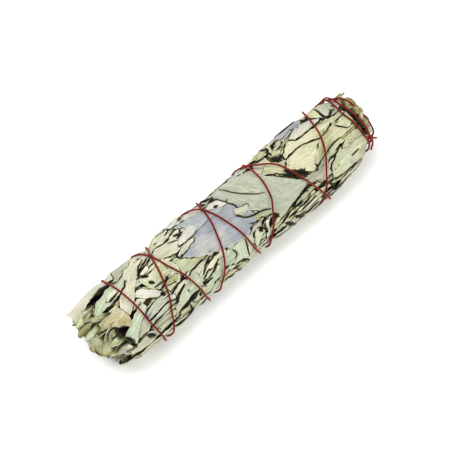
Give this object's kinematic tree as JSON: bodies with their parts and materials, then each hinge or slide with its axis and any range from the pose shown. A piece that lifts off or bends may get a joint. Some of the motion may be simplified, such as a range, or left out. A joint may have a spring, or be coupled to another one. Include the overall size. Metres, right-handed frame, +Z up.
{
  "type": "herb smudge stick",
  "caption": "Bundle of dried, felted grey-green leaves on cut stems, wrapped in large loose leaves and tied from end to end with crossing turns of thin red string.",
  "frame": {"origin": "on the flat underside that lies on the table, under the middle of the bundle", "axes": "+X along the bundle towards the cut stems, +Z up from the table, +Y across the bundle"},
  "size_m": [0.208, 0.0488, 0.0439],
  "materials": {
    "leaf_pale": "dry, felted, matt",
    "leaf_cream": "dry, felted, matt",
    "leaf_grey": "dry, felted, matt",
    "leaf_mint": "dry, felted, matt",
    "leaf_blue": "dry, felted, matt",
    "leaf_white": "dry, felted, matt",
    "leaf_moss": "dry, felted, matt",
    "leaf_olive": "dry, felted, matt",
    "leaf_tan": "dry, felted, matt",
    "sprig": "dry leaf mass and bark, matt",
    "string": "twisted cotton, matt"
  },
  "bodies": {
    "root": {"leaf_01": "leaf_pale", "leaf_02": "leaf_pale", "leaf_03": "leaf_cream", "leaf_04": "leaf_grey", "leaf_05": "leaf_pale", "leaf_06": "leaf_moss", "leaf_07": "leaf_mint", "leaf_08": "leaf_mint", "leaf_09": "leaf_grey", "leaf_10": "leaf_cream", "leaf_11": "leaf_grey", "leaf_12": "leaf_pale", "leaf_13": "leaf_moss", "leaf_14": "leaf_olive", "leaf_15": "leaf_pale", "leaf_16": "leaf_moss", "leaf_17": "leaf_blue", "leaf_18": "leaf_white", "leaf_19": "leaf_grey", "leaf_20": "leaf_moss", "leaf_21": "leaf_pale", "leaf_22": "leaf_pale", "leaf_23": "leaf_cream", "leaf_24": "leaf_moss", "leaf_25": "leaf_grey", "leaf_26": "leaf_blue", "leaf_27": "leaf_blue", "leaf_28": "leaf_white", "leaf_29": "leaf_tan", "leaf_30": "leaf_white", "leaf_31": "leaf_cream", "leaf_32": "leaf_grey", "leaf_33": "leaf_tan", "leaf_34": "leaf_cream", "leaf_35": "leaf_moss", "leaf_36": "leaf_cream", "leaf_37": "leaf_pale", "leaf_38": "leaf_moss", "leaf_39": "leaf_pale", "leaf_40": "leaf_grey", "leaf_41": "leaf_cream", "leaf_42": "leaf_grey", "leaf_43": "leaf_blue", "leaf_44": "leaf_pale", "leaf_45": "leaf_cream", "leaf_46": "leaf_grey", "leaf_47": "leaf_pale", "leaf_48": "leaf_mint", "leaf_49": "leaf_moss", "leaf_50": "leaf_cream", "leaf_51": "leaf_grey", "leaf_52": "leaf_pale", "leaf_53": "leaf_mint", "sprig_1": "sprig", "sprig_2": "sprig", "sprig_3": "sprig", "sprig_4": "sprig", "sprig_5": "sprig", "sprig_6": "sprig", "string": "string"}
  },
  "joints": []
}
